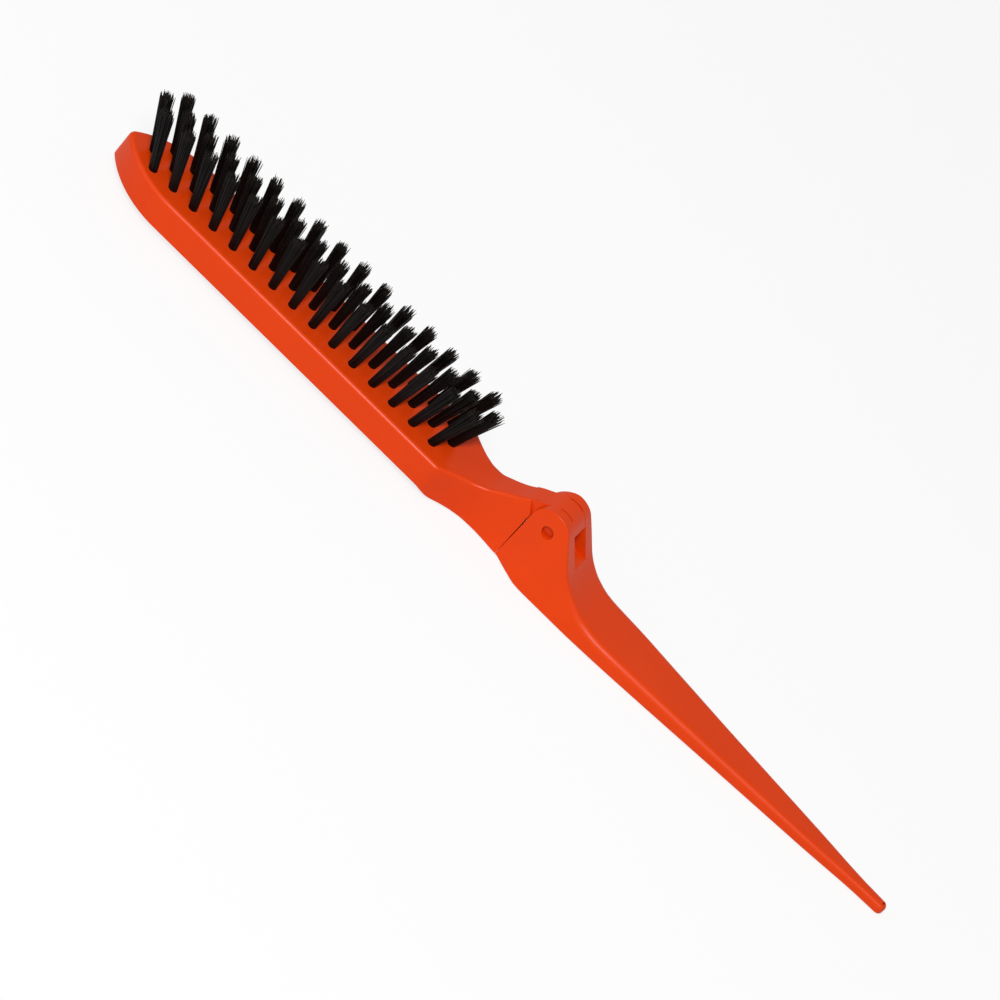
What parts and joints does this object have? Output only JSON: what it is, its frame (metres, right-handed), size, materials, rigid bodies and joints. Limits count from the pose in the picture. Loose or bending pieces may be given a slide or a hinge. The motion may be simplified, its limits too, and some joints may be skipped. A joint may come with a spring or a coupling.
{
  "type": "folding teasing brush",
  "caption": "Long slim hair brush with three close rows of stiff black bristle tufts on an orange plate, hinged at a narrow neck to a thin rat-tail handle that folds over the bristles.",
  "frame": {"origin": "centre of the bounding box in X and Y, with Z = 0 at the underside of the handle, on which the open brush lies", "axes": "+X along the brush from the tip of the bristle plate to the tail of the handle, +Z the way the bristles stand, Y across its width; the brush is mirror-symmetric about Y = 0"},
  "size_m": [0.2338, 0.0192, 0.0244],
  "materials": {
    "orange_plastic": "injection-moulded ABS, orange right through, satin-gloss skin",
    "orange_pin": "moulded plastic pin in the same orange, satin",
    "bristle": "stiff black bristle, slightly glossy along each hair, cut ends frayed",
    "anchor_wire": "flat nickel-silver staple wire, as rolled"
  },
  "bodies": {
    "head": {"head": "orange_plastic", "anchors_near": "anchor_wire", "anchors_middle": "anchor_wire", "anchors_far": "anchor_wire", "tuft_near_01": "bristle", "tuft_near_02": "bristle", "tuft_near_03": "bristle", "tuft_near_04": "bristle", "tuft_near_05": "bristle", "tuft_near_06": "bristle", "tuft_near_07": "bristle", "tuft_near_08": "bristle", "tuft_near_09": "bristle", "tuft_near_10": "bristle", "tuft_near_11": "bristle", "tuft_near_12": "bristle", "tuft_near_13": "bristle", "tuft_near_14": "bristle", "tuft_near_15": "bristle", "tuft_middle_01": "bristle", "tuft_middle_02": "bristle", "tuft_middle_03": "bristle", "tuft_middle_04": "bristle", "tuft_middle_05": "bristle", "tuft_middle_06": "bristle", "tuft_middle_07": "bristle", "tuft_middle_08": "bristle", "tuft_middle_09": "bristle", "tuft_middle_10": "bristle", "tuft_middle_11": "bristle", "tuft_middle_12": "bristle", "tuft_middle_13": "bristle", "tuft_middle_14": "bristle", "tuft_middle_15": "bristle", "tuft_middle_16": "bristle", "tuft_far_01": "bristle", "tuft_far_02": "bristle", "tuft_far_03": "bristle", "tuft_far_04": "bristle", "tuft_far_05": "bristle", "tuft_far_06": "bristle", "tuft_far_07": "bristle", "tuft_far_08": "bristle", "tuft_far_09": "bristle", "tuft_far_10": "bristle", "tuft_far_11": "bristle", "tuft_far_12": "bristle", "tuft_far_13": "bristle", "tuft_far_14": "bristle", "tuft_far_15": "bristle"},
    "handle": {"handle": "orange_plastic", "hinge_pin": "orange_pin"}
  },
  "joints": [
    {"name": "handle_fold", "type": "hinge", "parent": "head", "child": "handle", "pos_m": [0.00828, 0, 0.015], "axis": [0, -1, 0], "range_deg": [0, 180]}
  ]
}
